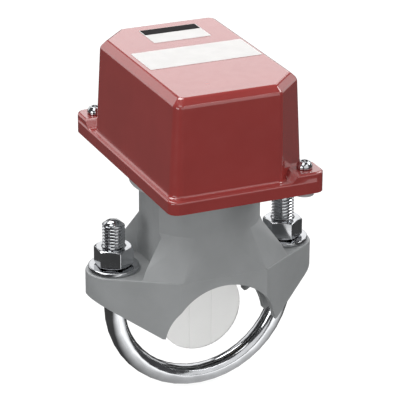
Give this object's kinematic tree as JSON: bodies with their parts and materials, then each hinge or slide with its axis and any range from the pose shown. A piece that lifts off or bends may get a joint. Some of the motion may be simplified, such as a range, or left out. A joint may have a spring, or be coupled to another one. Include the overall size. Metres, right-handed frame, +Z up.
{
  "type": "water flow detector",
  "caption": "Vane type water flow detector for a two inch sprinkler pipe: saddle casting with U-bolt, swinging paddle, pneumatic delay unit and snap switches under a cast cover.",
  "frame": {"origin": "on the centre line of the pipe the saddle sits on, midway between the two studs", "axes": "+X from the left stud to the right stud, +Y along the pipe in the direction of the flow, +Z up out of the pipe towards the cover"},
  "size_m": [0.1206, 0.1252, 0.177],
  "materials": {
    "grey_enamel": "satin grey enamel on cast iron",
    "red_enamel": "satin dark red enamel on a die casting",
    "bare_die_casting": "bare light alloy, as cast",
    "bright_zinc": "bright zinc plate",
    "sheet_steel": "plated sheet and wire",
    "brass": "turned brass",
    "black_rubber": "matt black rubber",
    "white_nylon": "natural white nylon",
    "black_moulding": "black phenolic moulding",
    "green_screw": "green dyed plating"
  },
  "bodies": {
    "casting": {"saddle_casting": "grey_enamel", "cover": "red_enamel", "base_plate": "bare_die_casting", "u_bolt": "bright_zinc", "stud_nut_left": "bright_zinc", "stud_nut_right": "bright_zinc", "washer_left": "bright_zinc", "washer_right": "bright_zinc", "base_screw_1": "bright_zinc", "base_screw_2": "bright_zinc", "base_screw_3": "bright_zinc", "base_screw_4": "bright_zinc", "cover_screw_front": "bright_zinc", "cover_screw_back": "bright_zinc", "switch_screw_left": "bright_zinc", "switch_screw_right": "bright_zinc", "pivot_bracket": "sheet_steel", "pivot_pin": "sheet_steel", "bracket_screw_1": "sheet_steel", "bracket_screw_2": "sheet_steel", "mechanism_frame": "sheet_steel", "frame_screw_1": "sheet_steel", "frame_screw_2": "sheet_steel", "retard_screw_1": "sheet_steel", "retard_screw_2": "sheet_steel", "terminal_left_1": "brass", "terminal_left_2": "brass", "terminal_left_3": "brass", "terminal_right_1": "brass", "terminal_right_2": "brass", "terminal_right_3": "brass", "pipe_gasket": "black_rubber", "stem_seal": "black_rubber", "cover_gasket": "black_rubber", "retard_housing": "black_moulding", "switch_left": "black_moulding", "switch_right": "black_moulding", "ground_screw": "green_screw"},
    "vane": {"vane": "white_nylon", "stem": "brass", "vane_rivet_1": "brass", "vane_rivet_2": "brass", "return_spring": "sheet_steel"},
    "plunger": {"retard_plunger": "brass", "trip_yoke": "sheet_steel"},
    "lever_left": {"switch_lever_left": "sheet_steel"},
    "lever_right": {"switch_lever_right": "sheet_steel"},
    "button_left": {"switch_button_left": "white_nylon"},
    "button_right": {"switch_button_right": "white_nylon"},
    "dial": {"retard_dial": "white_nylon"}
  },
  "joints": [
    {"name": "vane_swing", "type": "hinge", "parent": "casting", "child": "vane", "pos_m": [0, 0, 0.066], "axis": [1, 0, 0], "range_deg": [0, 10], "stiffness_Nm_per_rad": 0.25},
    {"name": "retard_stroke", "type": "slide", "parent": "casting", "child": "plunger", "axis": [0, -1, 0], "range_m": [0, 0.00697]},
    {"name": "left_lever_swing", "type": "hinge", "parent": "casting", "child": "lever_left", "pos_m": [-0.02165, -0.019, 0.097], "axis": [1, 0, 0], "range_deg": [0, 16.89]},
    {"name": "right_lever_swing", "type": "hinge", "parent": "casting", "child": "lever_right", "pos_m": [0.02165, -0.019, 0.097], "axis": [1, 0, 0], "range_deg": [0, 16.89]},
    {"name": "left_button_press", "type": "slide", "parent": "casting", "child": "button_left", "axis": [0, -1, 0], "range_m": [0, 0.00112]},
    {"name": "right_button_press", "type": "slide", "parent": "casting", "child": "button_right", "axis": [0, -1, 0], "range_m": [0, 0.00112]},
    {"name": "dial_turn", "type": "hinge", "parent": "casting", "child": "dial", "pos_m": [0, -0.034, 0.1176], "axis": [0, 0, 1], "range_deg": [0, 270]}
  ],
  "couplings": [
    {"joint": "retard_stroke", "follows": "vane_swing", "m_per_rad": 0.039853},
    {"joint": "left_lever_swing", "follows": "vane_swing", "ratio": 1.6866},
    {"joint": "right_lever_swing", "follows": "vane_swing", "ratio": 1.6866},
    {"joint": "left_button_press", "follows": "vane_swing", "m_per_rad": 0.006376},
    {"joint": "right_button_press", "follows": "vane_swing", "m_per_rad": 0.006376}
  ]
}
